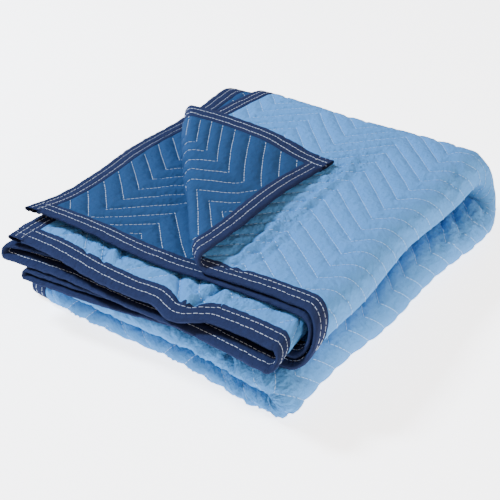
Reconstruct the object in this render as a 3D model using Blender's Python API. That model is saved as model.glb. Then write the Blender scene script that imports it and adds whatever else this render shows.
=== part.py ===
"""A quilted moving blanket, folded in half four times, with the corner of its top layer turned back.

The pieces are those that a maker cuts and sews: a light face panel, a darker back panel and four
strips of binding tape, one round each edge. Each is first a flat slab in cloth coordinates, where
u runs across the blanket, v along it and w through its thickness, with the light face towards +w.
The slab is cut along the lines where the cloth bends and where it is quilted, and then every point
goes through the same folds. Lengths are in metres, the pack rests on z = 0 and +Z is up.
"""

import math

import bmesh
import bpy
import numpy as np
from mathutils import Matrix

COLLECTION = "moving_blanket"

# The flat blanket
WIDTH = 1.70
LENGTH = 2.03
CLOTH = 0.0052
GAP = 0.0003
TAPE = 0.0010
TAPE_GAP = 0.00045
TAPE_WIDTH = 0.026
TAPE_CHAMFER = 0.0012
EDGE_RAMP = 0.006

# The quilting: lines of chevrons across the blanket
ROW_SPACING = 0.0296
CHEVRON_PERIOD = 0.156
CHEVRON_HEIGHT = 0.072
FIRST_VALLEY = 0.0577
FIRST_ROW = 0.0254
GROOVE = 0.0011

# The folded pack: the distance between the middles of neighbouring layers, the bands of cloth that
# the four folds take up, and the flat lengths between them
PITCH = 0.0073
LAYERS = 16
HALF_WIDTH_BAND = 0.5 * math.pi * PITCH
HALF_LENGTH_BAND = 1.5 * math.pi * PITCH
QUARTER_WIDTH_BAND = 3.5 * math.pi * PITCH
QUARTER_LENGTH_BAND = 7.5 * math.pi * PITCH
BEND_X = 0.25 * WIDTH - 0.5 * QUARTER_WIDTH_BAND
BEND_Y = 0.25 * LENGTH - 0.5 * QUARTER_LENGTH_BAND

# Where each quarter of the cloth ends in plan, keyed by its place across and along the cloth, down
# the pack from the top layer: the x of its left end (near and far), the y of its front end
QUARTER_ENDS = {
    (0, 0): dict(left_near=-0.245, left_far=-0.187, front_left=-0.365, front_right=-0.343),
    (3, 0): dict(left_near=-0.203, left_far=-0.236, front_left=-0.364, front_right=-0.348),
    (3, 3): dict(left_near=-0.194, left_far=-0.200, front_left=-0.405, front_right=-0.398),
    (0, 3): dict(left_near=-0.206, left_far=-0.205, front_left=-0.376, front_right=-0.315),
    (1, 3): dict(left_near=-0.203, left_far=-0.190, front_left=-0.411, front_right=-0.312),
    (2, 3): dict(left_near=-0.203, left_far=-0.190, front_left=-0.406, front_right=-0.405),
    (2, 0): dict(left_near=-0.167, left_far=-0.190, front_left=-0.418, front_right=-0.370),
    (1, 0): dict(left_near=-0.167, left_far=-0.190, front_left=-0.422, front_right=-0.380),
    (1, 1): dict(left_near=-0.195, left_far=-0.195, front_left=-0.388, front_right=-0.406),
    (2, 1): dict(left_near=-0.195, left_far=-0.195, front_left=-0.388, front_right=-0.406),
    (2, 2): dict(left_near=-0.195, left_far=-0.195, front_left=-0.388, front_right=-0.406),
    (1, 2): dict(left_near=-0.195, left_far=-0.195, front_left=-0.388, front_right=-0.406),
    (0, 2): dict(left_near=-0.198, left_far=-0.195, front_left=-0.382, front_right=-0.402),
    (3, 2): dict(left_near=-0.195, left_far=-0.195, front_left=-0.382, front_right=-0.402),
    (3, 1): dict(left_near=-0.195, left_far=-0.195, front_left=-0.382, front_right=-0.402),
    (0, 1): dict(left_near=-0.198, left_far=-0.195, front_left=-0.382, front_right=-0.402),
}

# The x of the axis of the right-hand bends for each quarter along the cloth, far and near, and the
# y of the axis of the far bends
RIGHT_AXES = [
    dict(far=0.150, near=0.186),
    dict(far=0.174, near=0.178),
    dict(far=0.172, near=0.172),
    dict(far=0.144, near=0.178),
]
FAR_AXIS = 0.073
FLARE = 1.7
FLARE_LENGTH = 0.44

# How the free front edges curl and sag: the quarter (across, along), the middle and the reach of
# the stretch as shares of the way from the right-hand bend to the left end, and how far the edge
# is pushed forward and drops there. Both fade to nothing at EDGE_DEPTH behind the edge, the push
# only behind the tape, as EDGE_HOLD sets. EDGE_KINK is the place of a sharper kink
EDGE_DEPTH = 0.080
EDGE_HOLD = 1.5
EDGE_KINK = 0.28
EDGE_MOVES = [
    dict(across=3, along=0, middle=0.95, reach=0.60, forward=0.000, drop=-0.010),
    dict(across=3, along=3, middle=0.45, reach=0.45, forward=0.006, drop=0.006),
    dict(across=3, along=3, middle=EDGE_KINK, reach=0.10, forward=0.015, drop=0.002),
    dict(across=3, along=3, middle=0.00, reach=0.50, forward=0.001, drop=0.005),
    dict(across=1, along=3, middle=1.00, reach=0.42, forward=0.000, drop=-0.003),
    dict(across=2, along=3, middle=0.00, reach=0.64, forward=0.011, drop=0.000),
    dict(across=2, along=3, middle=1.00, reach=0.34, forward=0.012, drop=0.001),
]

# The turned-back corner: where its fold line meets the front edge and the left edge, the radius of
# the roll, the height at which the flap rests over its layer, how far it closes down from the roll,
# how far it slides along the roll, and the lift of its free edge
TURN_U = 0.276
TURN_V = 0.304
ROLL = 0.0085
FLAP_REST = CLOTH + 0.0010
FLAP_CLOSE = 0.16
FLAP_SKEW = 0.29
FLAP_LIFT = 0.004
FLAP_LIFT_WIDTH = 0.13
FLAP_FAR_LIFT = 0.016
FLAP_FAR_WIDTH = 0.20
FLAP_FAR_REACH = 0.12

# Long, low unevenness: the share by which the pack's height varies, the sideways drift of its edges,
# and their wavelengths
SWELL = 0.012
SWELL_LENGTHS = (0.43, 0.51)
DRIFT = 0.003
DRIFT_LENGTHS = (0.27, 0.23)
DRIFT_PER_HEIGHT = 22.0

# Moves the pack so that its box stands on its middle
TO_MIDDLE = (0.0149, 0.1441, 0.0)

# Segments of each bend and of each flat length
SEGMENTS = dict(right_bend=6, far_bend=7, left_loop=4, front_nose=4, roll=6)
FLAT_CUTS = 2
FLAP_CUTS = (0.06, 0.12)
LEAST_STRIP = 0.004
LEAST_PIECE = 0.0015
LEAST_SLIVER = 0.0001

LIGHT_BLUE = (0.21, 0.40, 0.68)
DARK_BLUE = (0.026, 0.127, 0.33)
NAVY = (0.024, 0.048, 0.141)


def step(value):
    """Smooth step from 0 to 1."""
    t = np.clip(value, 0.0, 1.0)
    return t * t * (3.0 - 2.0 * t)


def bend(along, height, start, band, axis):
    """Carries points through a half-circle about a line at the height of axis, and back again."""
    turn = math.pi * np.clip((along - start) / band, 0.0, 1.0)
    radius = height - axis
    straight = np.minimum(along, start) - np.maximum(along - start - band, 0.0)
    return straight + np.abs(radius) * np.sin(turn), axis + radius * np.cos(turn)


def turn_line():
    """The unit normal of the turned corner's fold line, towards the corner, and its distance."""
    reach = math.hypot(TURN_U, TURN_V)
    return -TURN_V / reach, -TURN_U / reach, TURN_U * TURN_V / reach


def turned_back(u, v, w):
    """Turns the corner at u = v = 0 up and over its fold line, to lie on the light face."""
    nu, nv, distance = turn_line()
    beyond = u * nu + v * nv + distance
    flap = (beyond > 0.0) & (u < TURN_U + 0.1) & (v < TURN_V + 0.1)
    length = math.pi * ROLL
    carried, height = bend(beyond, w, 0.0, length, ROLL)
    back = np.maximum(beyond - length, 0.0)
    height = height - (2.0 * ROLL - FLAP_REST) * step(back / FLAP_CLOSE)
    open_edge = step(1.0 - v / FLAP_LIFT_WIDTH)
    height = height + FLAP_LIFT * open_edge * np.sin(math.pi * np.clip(back / distance, 0.0, 1.0))
    far_edge = step(1.0 - u / FLAP_FAR_WIDTH) * step(v / FLAP_FAR_REACH)
    height = height + FLAP_FAR_LIFT * far_edge * step(beyond / length)
    slide = FLAP_SKEW * back
    flap_u = u + (carried - beyond) * nu + slide * nv
    flap_v = v + (carried - beyond) * nv - slide * nu
    return np.where(flap, flap_u, u), np.where(flap, flap_v, v), np.where(flap, height, w)


def quarter_shares(along, size, quarter_band, half_band):
    """Share of each quarter of the cloth at these points, passing smoothly over inside the folds."""
    first = step((along - 0.25 * size) / quarter_band + 0.5)
    middle = step((along - 0.50 * size) / half_band + 0.5)
    last = step((along - 0.75 * size) / quarter_band + 0.5)
    return [1.0 - first, first - middle, middle - last, last]


def edge_moves(across, along, x, y):
    """How far the free front edges are pushed forward and how far they drop."""
    left = 1.0 - x / BEND_X
    fade = np.clip(1.0 - y / EDGE_DEPTH, 0.0, 1.0)
    forward = np.zeros_like(x)
    drop = np.zeros_like(x)
    for move in EDGE_MOVES:
        stretch = step(1.0 - np.abs(left - move["middle"]) / move["reach"])
        share = across[move["across"]] * along[move["along"]] * stretch
        forward += move["forward"] * share * step(EDGE_HOLD * fade)
        drop += move["drop"] * share * fade**2
    return forward, drop


def laid_out(across, along, x, y):
    """Stretches each quarter in plan so that its ends lie where the tables put them."""
    right = x / BEND_X
    far = y / BEND_Y
    left = np.clip(1.0 - right, 0.0, 1.0)
    near = np.clip(1.0 - far, 0.0, 1.0)
    row = {key: np.zeros_like(x) for key in ("left_near", "left_far", "front_left", "front_right")}
    for (i, j), ends in QUARTER_ENDS.items():
        for key, end in ends.items():
            row[key] += across[i] * along[j] * end
    axis_far = sum(share * ends["far"] for share, ends in zip(along, RIGHT_AXES))
    axis_near = sum(share * ends["near"] for share, ends in zip(along, RIGHT_AXES))
    flat_y = row["front_right"] + (FAR_AXIS - row["front_right"]) * far
    flat_y += (row["front_left"] - row["front_right"]) * left * near**2
    plan_y = np.where(y < BEND_Y, flat_y, FAR_AXIS + y - BEND_Y)
    forward = np.maximum(FAR_AXIS - plan_y, 0.0) / FLARE_LENGTH
    axis = axis_far + (axis_near - axis_far) * forward**FLARE
    flat_x = row["left_far"] + (axis_far - row["left_far"]) * right
    flat_x += (row["left_near"] - row["left_far"]) * near * left**2
    flat_x += (axis - axis_far) * (1.0 - left) ** 3
    plan_x = np.where(x < BEND_X, flat_x, axis + x - BEND_X)
    return plan_x, plan_y


def uneven(x, y, z):
    """Swells the pack a little from place to place, and lets its edges drift."""
    across, along = SWELL_LENGTHS
    swell = np.sin(2.0 * math.pi * x / across + 0.8) * np.cos(2.0 * math.pi * y / along - 0.4)
    drift_x, drift_y = DRIFT_LENGTHS
    moved_x = x + DRIFT * np.sin(2.0 * math.pi * y / drift_y + DRIFT_PER_HEIGHT * z)
    moved_y = y + DRIFT * np.sin(2.0 * math.pi * x / drift_x - DRIFT_PER_HEIGHT * z + 1.1)
    return moved_x, moved_y, z * (1.0 + SWELL * swell)


def folded(points):
    """Takes points (u, v, w) of the flat blanket to their places in the folded pack."""
    u, v, w = np.asarray(points, dtype=float).T
    x, y, h = turned_back(u, v, w)
    x, h = bend(x, h, 0.5 * (WIDTH - HALF_WIDTH_BAND), HALF_WIDTH_BAND, -0.5 * PITCH)
    y, h = bend(y, h, 0.5 * (LENGTH - HALF_LENGTH_BAND), HALF_LENGTH_BAND, -1.5 * PITCH)
    x, h = bend(x, h, BEND_X, QUARTER_WIDTH_BAND, -3.5 * PITCH)
    y, h = bend(y, h, BEND_Y, QUARTER_LENGTH_BAND, -7.5 * PITCH)
    across = quarter_shares(u, WIDTH, QUARTER_WIDTH_BAND, HALF_WIDTH_BAND)
    along = quarter_shares(v, LENGTH, QUARTER_LENGTH_BAND, HALF_LENGTH_BAND)
    forward, drop = edge_moves(across, along, x, y)
    x, y = laid_out(across, along, x, y)
    x, y, z = uneven(x, y - forward, h - drop + (LAYERS - 1) * PITCH + 0.5 * CLOTH)
    return np.stack([x, y, z], axis=1) + np.array(TO_MIDDLE)


def chevron(u):
    """Height of the quilting's chevron at u over its valleys."""
    from_valley = np.abs((u - FIRST_VALLEY) / CHEVRON_PERIOD - np.round((u - FIRST_VALLEY) / CHEVRON_PERIOD))
    return 2.0 * CHEVRON_HEIGHT * from_valley


def row_phase(u, v):
    """Whole numbers on the quilting lines, halves midway between them."""
    return (v - FIRST_ROW - chevron(u)) / ROW_SPACING


def half_thickness(u, v, quilted):
    """Distance of the cloth's outer faces from its middle, thinner inside the binding."""
    edge = np.minimum(np.minimum(u, WIDTH - u), np.minimum(v, LENGTH - v))
    bound = 0.5 * CLOTH - TAPE - TAPE_GAP
    full = bound + (0.5 * CLOTH - bound) * np.clip((edge - TAPE_WIDTH) / EDGE_RAMP, 0.0, 1.0)
    phase = row_phase(u, v)
    groove = GROOVE * (1.0 - 2.0 * np.abs(phase - np.round(phase)))
    inside = edge > TAPE_WIDTH + 0.5 * EDGE_RAMP
    return full - np.where(quilted & inside, groove, 0.0)


# Modelling

# Where quilting shows: corners (u, v) of each stretch of cloth whose outer face is quilted
INNER = TAPE_WIDTH + EDGE_RAMP
RIGHT_BEND = (BEND_X, BEND_X + QUARTER_WIDTH_BAND)
FAR_BEND = (BEND_Y, BEND_Y + QUARTER_LENGTH_BAND)
NOSE = 0.050
STRIP = 0.10
FACE_QUILTING = [
    dict(u=(INNER, RIGHT_BEND[1]), v=(INNER, FAR_BEND[1]), turned=False),
    dict(u=RIGHT_BEND, v=(FAR_BEND[1], 0.5 * LENGTH - NOSE), turned=False),
    dict(u=(INNER, 0.5 * WIDTH), v=(0.5 * LENGTH - NOSE, 0.5 * LENGTH + NOSE), turned=False),
    dict(u=(WIDTH - BEND_X, WIDTH - INNER), v=(LENGTH - STRIP, LENGTH - INNER), turned=False),
]
BACK_QUILTING = [
    dict(u=(INNER, TURN_U), v=(INNER, TURN_V), turned=True),
    dict(u=(WIDTH - BEND_X, WIDTH - INNER), v=(INNER, BEND_Y), turned=False),
]


def steps(start, length, count):
    """The ends and inner cuts of a length cut into equal segments."""
    return [start + length * i / count for i in range(count + 1)]


def chevron_corners(start, end, every):
    """Peaks and valleys of the quilting between two places across the blanket."""
    half = 0.5 * CHEVRON_PERIOD
    first = math.ceil((start - FIRST_VALLEY) / half)
    last = math.floor((end - FIRST_VALLEY) / half)
    return [FIRST_VALLEY + half * i for i in range(first, last + 1) if i % every == 0]


def cuts_across():
    """Places across the blanket where the slabs are cut: bends, flats and the bound edges."""
    bends = steps(BEND_X, QUARTER_WIDTH_BAND, SEGMENTS["right_bend"])
    bends += steps(WIDTH - RIGHT_BEND[1], QUARTER_WIDTH_BAND, SEGMENTS["right_bend"])
    bends += steps(0.5 * (WIDTH - HALF_WIDTH_BAND), HALF_WIDTH_BAND, SEGMENTS["left_loop"])
    edges = [TAPE_WIDTH, INNER, WIDTH - INNER, WIDTH - TAPE_WIDTH]
    edges += [WIDTH - BEND_X * (1.0 - EDGE_KINK)]
    flats = chevron_corners(INNER, BEND_X, 1) + chevron_corners(WIDTH - BEND_X, WIDTH - INNER, 1)
    flats += chevron_corners(RIGHT_BEND[1], WIDTH - RIGHT_BEND[1], 4)
    return spaced(bends + edges, flats)


def cuts_along():
    """Places along the blanket where the slabs are cut."""
    bends = steps(BEND_Y, QUARTER_LENGTH_BAND, SEGMENTS["far_bend"])
    bends += steps(LENGTH - FAR_BEND[1], QUARTER_LENGTH_BAND, SEGMENTS["far_bend"])
    bends += steps(0.5 * (LENGTH - HALF_LENGTH_BAND), HALF_LENGTH_BAND, SEGMENTS["front_nose"])
    edges = [TAPE_WIDTH, INNER, EDGE_DEPTH, LENGTH - EDGE_DEPTH, LENGTH - INNER, LENGTH - TAPE_WIDTH]
    flats = []
    fixed = sorted([INNER, BEND_Y, FAR_BEND[1], 0.5 * (LENGTH - HALF_LENGTH_BAND)])
    for start, end in ((fixed[0], fixed[1]), (fixed[2], fixed[3])):
        inner = steps(start, end - start, FLAT_CUTS + 1)[1:-1]
        flats += inner + [LENGTH - place for place in inner]
    return spaced(bends + edges, flats)


def spaced(fixed, free):
    """All the fixed places, and the free ones that stand clear of them."""
    kept = [place for place in free if all(abs(place - other) > LEAST_STRIP for other in fixed)]
    return sorted(fixed + kept)


def cut(mesh, geometry, point, normal, least=1e-6):
    """Cuts the geometry with a plane, and returns the faces that it then has."""
    result = bmesh.ops.bisect_plane(mesh, geom=geometry, plane_co=point, plane_no=normal, dist=least)
    return [item for item in result["geom"] if isinstance(item, bmesh.types.BMFace)]


def with_edges(faces):
    """These faces together with their edges and points."""
    edges = {edge for face in faces for edge in face.edges}
    points = {vert for face in faces for vert in face.verts}
    return list(faces) + list(edges) + list(points)


def cut_for_folds(mesh, across, along):
    """Cuts a flat piece where the cloth bends, also beside the fold line of the turned corner."""
    for place in across:
        cut(mesh, mesh.faces[:] + mesh.edges[:] + mesh.verts[:], (place, 0.0, 0.0), (1.0, 0.0, 0.0))
    for place in along:
        cut(mesh, mesh.faces[:] + mesh.edges[:] + mesh.verts[:], (0.0, place, 0.0), (0.0, 1.0, 0.0))
    nu, nv, distance = turn_line()
    roll = steps(0.0, math.pi * ROLL, SEGMENTS["roll"])
    for beyond in roll + [roll[-1] + back for back in FLAP_CUTS]:
        corner = [face for face in mesh.faces if max(p.co.x for p in face.verts) < TURN_U + 0.09
                  and max(p.co.y for p in face.verts) < BEND_Y]
        place = (nu * (beyond - distance), nv * (beyond - distance), 0.0)
        cut(mesh, with_edges(corner), place, (nu, nv, 0.0), LEAST_SLIVER)


def in_stretch(point, stretch):
    """Whether a point lies in this stretch of cloth, on the named side of the corner's fold line."""
    nu, nv, distance = turn_line()
    turned = point.x * nu + point.y * nv + distance > 0.0
    inside = stretch["u"][0] < point.x < stretch["u"][1] and stretch["v"][0] < point.y < stretch["v"][1]
    return inside and turned == stretch["turned"]


def cleared(mesh, stretch, outer_w):
    """Takes out the cuts across a stretch's outer face, which its quilting lines replace."""
    outer = {face for face in mesh.faces if abs(face.calc_center_median().z - outer_w) < 1e-6
             and in_stretch(face.calc_center_median(), stretch)}
    rungs = [edge for edge in mesh.edges if abs(edge.verts[0].co.y - edge.verts[1].co.y) < 1e-6
             and all(face in outer for face in edge.link_faces)]
    bmesh.ops.dissolve_edges(mesh, edges=rungs, use_verts=True)


def cut_for_quilting(mesh, stretch, outer_w, across):
    """Cuts the outer face along each quilting line and midway between them, a chevron at a time."""
    cleared(mesh, stretch, outer_w)
    places = [place for place in across if stretch["u"][0] - 1e-6 <= place <= stretch["u"][1] + 1e-6]
    for left, right in zip(places, places[1:]):
        strip = [face for face in mesh.faces if abs(face.calc_center_median().z - outer_w) < 1e-6
                 and left < face.calc_center_median().x < right
                 and in_stretch(face.calc_center_median(), stretch)]
        v_left, v_right = float(chevron(left)) + FIRST_ROW, float(chevron(right)) + FIRST_ROW
        slope = (v_right - v_left) / (right - left)
        lowest = math.ceil(2.0 * (stretch["v"][0] - max(v_left, v_right)) / ROW_SPACING)
        highest = math.floor(2.0 * (stretch["v"][1] - min(v_left, v_right)) / ROW_SPACING)
        for half_row in range(lowest, highest + 1):
            place = (left, v_left + 0.5 * ROW_SPACING * half_row, 0.0)
            strip = cut(mesh, with_edges(strip), place, (-slope, 1.0, 0.0), LEAST_PIECE)


def triangulated(mesh):
    """Splits every face, all rectangles along the same diagonal, so that neighbours lie parallel."""
    lean = Matrix(((1.0, 0.15, 0.4), (0.0, 1.0, 0.4), (0.0, 0.0, 1.0))).to_4x4()
    bmesh.ops.transform(mesh, matrix=lean, verts=mesh.verts[:])
    bmesh.ops.triangulate(mesh, faces=mesh.faces[:], quad_method="SHORT_EDGE", ngon_method="BEAUTY")
    bmesh.ops.transform(mesh, matrix=lean.inverted(), verts=mesh.verts[:])


def material(name, colour, roughness):
    """A plain cloth material."""
    made = bpy.data.materials.new(name)
    made.use_nodes = True
    shader = made.node_tree.nodes["Principled BSDF"]
    shader.inputs["Base Color"].default_value = (*colour, 1.0)
    shader.inputs["Roughness"].default_value = roughness
    return made


def finished(mesh, name, finish, collection):
    """Folds the flat mesh and makes it an object."""
    bmesh.ops.recalc_face_normals(mesh, faces=mesh.faces[:])
    flat = np.array([vert.co[:] for vert in mesh.verts])
    for vert, place in zip(mesh.verts, folded(flat)):
        vert.co = place
    data = bpy.data.meshes.new(name)
    mesh.to_mesh(data)
    mesh.free()
    data.materials.append(finish)
    made = bpy.data.objects.new(name, data)
    collection.objects.link(made)
    return made


def panel(name, side, quilting, finish, collection):
    """One outer cloth of the blanket: side is 1 for the light face and -1 for the back."""
    inner_w, outer_w = 0.5 * side * GAP, 0.5 * side * CLOTH
    mesh = bmesh.new()
    bmesh.ops.create_cube(mesh, size=1.0)
    middle = (0.5 * WIDTH, 0.5 * LENGTH, 0.5 * (inner_w + outer_w))
    bmesh.ops.scale(mesh, vec=(WIDTH, LENGTH, abs(outer_w - inner_w)), verts=mesh.verts[:])
    bmesh.ops.translate(mesh, vec=middle, verts=mesh.verts[:])
    across = cuts_across()
    cut_for_folds(mesh, across, cuts_along())
    for stretch in quilting:
        cut_for_quilting(mesh, stretch, outer_w, across)
    triangulated(mesh)
    for vert in mesh.verts:
        if abs(vert.co.z - outer_w) < 0.25 * CLOTH:
            quilted = any(in_stretch(vert.co, stretch) for stretch in quilting)
            vert.co.z = side * float(half_thickness(vert.co.x, vert.co.y, quilted))
    return finished(mesh, name, finish, collection)


def tape(name, along_v, at_end, finish, collection):
    """Binding tape folded round one edge of the blanket, open towards the cloth."""
    bound = 0.5 * CLOTH - TAPE
    out = TAPE_GAP + TAPE
    half = 0.5 * CLOTH
    profile = [
        (TAPE_WIDTH, -half), (TAPE_CHAMFER - out, -half), (-out, TAPE_CHAMFER - half),
        (-out, half - TAPE_CHAMFER), (TAPE_CHAMFER - out, half), (TAPE_WIDTH, half),
        (TAPE_WIDTH, bound), (-TAPE_GAP, bound), (-TAPE_GAP, -bound), (TAPE_WIDTH, -bound),
    ]
    start = -out if along_v else TAPE_WIDTH + GAP
    end = (LENGTH if along_v else WIDTH) - start
    size = WIDTH if along_v else LENGTH
    mesh = bmesh.new()
    corners = []
    for inward, w in profile:
        place = size - inward if at_end else inward
        corners.append(mesh.verts.new((place, start, w) if along_v else (start, place, w)))
    section = mesh.faces.new(corners)
    swept = bmesh.ops.extrude_face_region(mesh, geom=[section])["geom"]
    moved = [item for item in swept if isinstance(item, bmesh.types.BMVert)]
    length = end - start
    bmesh.ops.translate(mesh, vec=(0.0, length, 0.0) if along_v else (length, 0.0, 0.0), verts=moved)
    across = [] if along_v else cuts_across()
    along = cuts_along() if along_v else []
    cut_for_folds(mesh, across, along)
    triangulated(mesh)
    return finished(mesh, name, finish, collection)


def clear_scene():
    """Removes every object that the file starts with."""
    for item in list(bpy.data.objects):
        bpy.data.objects.remove(item, do_unlink=True)


def build():
    """Models the blanket's pieces."""
    clear_scene()
    collection = bpy.data.collections.new(COLLECTION)
    bpy.context.scene.collection.children.link(collection)
    light = material("light_cloth", LIGHT_BLUE, 0.9)
    dark = material("dark_cloth", DARK_BLUE, 0.9)
    navy = material("binding_tape", NAVY, 0.85)
    panel("face_panel", 1, FACE_QUILTING, light, collection)
    panel("back_panel", -1, BACK_QUILTING, dark, collection)
    tape("binding_left", True, False, navy, collection)
    tape("binding_right", True, True, navy, collection)
    tape("binding_head", False, False, navy, collection)
    tape("binding_foot", False, True, navy, collection)


build()
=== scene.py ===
"""Visual model of a folded, quilted moving blanket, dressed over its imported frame.

Every piece is worked out on the flat blanket, where u runs across it, v along it and w through its
thickness, with the light face towards +w. One function then folds all the pieces in the same way,
so panels, binding tapes and stitches stay together. Lengths are in metres and +Z is up.
"""

import logging
import math
from dataclasses import dataclass, field
from enum import Enum

import bmesh
import bpy
import numpy as np
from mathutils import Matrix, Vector


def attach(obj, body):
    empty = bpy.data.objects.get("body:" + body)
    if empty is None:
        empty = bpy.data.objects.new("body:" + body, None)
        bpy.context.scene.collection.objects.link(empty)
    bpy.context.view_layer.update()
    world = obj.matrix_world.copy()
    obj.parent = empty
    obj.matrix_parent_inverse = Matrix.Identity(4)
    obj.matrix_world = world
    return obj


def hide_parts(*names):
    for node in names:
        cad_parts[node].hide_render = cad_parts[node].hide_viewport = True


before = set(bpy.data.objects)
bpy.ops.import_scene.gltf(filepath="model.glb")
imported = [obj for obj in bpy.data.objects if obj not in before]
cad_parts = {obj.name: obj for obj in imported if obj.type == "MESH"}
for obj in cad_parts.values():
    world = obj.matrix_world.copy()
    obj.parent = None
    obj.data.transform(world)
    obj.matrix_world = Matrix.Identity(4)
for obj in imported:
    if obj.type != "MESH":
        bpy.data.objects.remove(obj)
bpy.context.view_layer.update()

LOG = logging.getLogger("blanket")
GOLDEN_ANGLE = 2.39996
Array = np.ndarray
Colour = tuple[float, float, float]
Place = tuple[float, float, float]
Run = tuple[Array, Array, Array, float]


class Side(Enum):
    """The two outer cloths of the blanket, and the way that each faces."""

    FACE = 1
    BACK = -1


def smooth(value: Array) -> Array:
    """Smooth step from 0 to 1: 3 t squared less 2 t cubed, with t held between 0 and 1."""
    t = np.clip(value, 0.0, 1.0)
    return t * t * (3.0 - 2.0 * t)


def window(value: Array, low: float, high: float, soft: float) -> Array:
    """1 between low and high, falling smoothly to 0 over the length soft outside them."""
    return smooth((value - low) / soft + 1.0) * smooth((high - value) / soft + 1.0)


def waves(a: Array, b: Array, length: float, seed: float) -> Array:
    """Even unevenness between about -1 and 1.

    The scaled sum of five sine waves of about one length, each turned a golden angle from the last
    and bent a little by the one before.

    Args:
        a: first coordinates.
        b: second coordinates.
        length: about how long the waves are.
        seed: turns and shifts the waves, so that two uses differ.

    Returns:
        The unevenness at each place.
    """
    total = np.zeros_like(a)
    carried = np.zeros_like(a)
    for turn in range(5):
        angle = GOLDEN_ANGLE * turn + seed
        size = 2.0 * math.pi / (length * (0.75 + 0.13 * turn))
        way = a * math.cos(angle) + b * math.sin(angle)
        carried = np.sin(size * way + 1.3 * carried + 5.1 * seed)
        total = total + carried
    return total / 3.2


@dataclass(frozen=True)
class Cut:
    """The flat blanket: its outline, thickness, binding and quilting lines."""

    width: float = 1.70
    length: float = 2.03
    cloth: float = 0.0052
    tape: float = 0.0010
    tape_width: float = 0.026
    row_spacing: float = 0.0296
    chevron_period: float = 0.156
    chevron_height: float = 0.072
    first_valley: float = 0.0577
    first_row: float = 0.0254
    corner: tuple[float, float] = (0.276, 0.304)
    corner_slip: float = 0.048
    corner_run: float = 0.42
    line_rounds: int = 11

    def chevron(self, u: Array, v: Array) -> Array:
        """Height of the quilting's chevron: the distance from the nearest valley, sloped.

        The valleys slip along u near the blanket's first corner, with a smooth step of the way in.
        """
        within = np.clip(1.0 - u / self.corner[0] - v / self.corner[1], 0.0, None)
        slip = self.corner_slip * smooth(within / self.corner_run)
        turns = (u - slip - self.first_valley) / self.chevron_period
        return 2.0 * self.chevron_height * np.abs(turns - np.round(turns))

    def line(self, u: Array, place: Array) -> Array:
        """The v at which a place's quilting line crosses u, closed in on from the line without slip."""
        v = np.full(u.shape, self.length)
        for _ in range(self.line_rounds):
            v = place + self.chevron(u, v)
        return v

    def phase(self, u: Array, v: Array) -> Array:
        """Whole numbers on the quilting lines and halves midway between them."""
        return (v - self.first_row - self.chevron(u, v)) / self.row_spacing

    def from_edge(self, u: Array, v: Array) -> Array:
        """Distance from the nearest edge of the blanket."""
        return np.minimum(np.minimum(u, self.width - u), np.minimum(v, self.length - v))


@dataclass(frozen=True)
class Ends:
    """Where a quarter of the cloth ends in plan: its left end near and far, its front end."""

    left_near: float
    left_far: float
    front_left: float
    front_right: float


def quarter_table() -> dict[tuple[int, int], Ends]:
    """The ends of each quarter, keyed by its place across and along, down the pack."""
    upper_nose = Ends(-0.195, -0.195, -0.388, -0.406)
    lower_nose = Ends(-0.195, -0.195, -0.382, -0.402)
    lower_loop = Ends(-0.198, -0.195, -0.382, -0.402)
    return {
        (0, 0): Ends(-0.245, -0.187, -0.365, -0.343),
        (3, 0): Ends(-0.203, -0.236, -0.364, -0.348),
        (3, 3): Ends(-0.194, -0.200, -0.405, -0.398),
        (0, 3): Ends(-0.206, -0.205, -0.376, -0.315),
        (1, 3): Ends(-0.203, -0.190, -0.411, -0.312),
        (2, 3): Ends(-0.203, -0.190, -0.406, -0.405),
        (2, 0): Ends(-0.167, -0.190, -0.418, -0.370),
        (1, 0): Ends(-0.167, -0.190, -0.422, -0.380),
        (1, 1): upper_nose,
        (2, 1): upper_nose,
        (2, 2): upper_nose,
        (1, 2): upper_nose,
        (0, 2): lower_loop,
        (3, 2): lower_nose,
        (3, 1): lower_nose,
        (0, 1): lower_loop,
    }


@dataclass(frozen=True)
class EdgeMove:
    """How a stretch of a quarter's free front edge is pushed forward and drops.

    The middle and the reach are shares of the way from the right-hand bend to the left end.
    """

    across: int
    along: int
    middle: float
    reach: float
    forward: float
    drop: float


EDGE_MOVES = (
    EdgeMove(3, 0, 0.95, 0.60, 0.000, -0.010),
    EdgeMove(3, 3, 0.45, 0.45, 0.006, 0.006),
    EdgeMove(3, 3, 0.28, 0.10, 0.015, 0.002),
    EdgeMove(3, 3, 0.00, 0.50, 0.001, 0.005),
    EdgeMove(1, 3, 1.00, 0.42, 0.000, -0.003),
    EdgeMove(2, 3, 0.00, 0.64, 0.011, 0.000),
    EdgeMove(2, 3, 1.00, 0.34, 0.012, 0.001),
)


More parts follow.
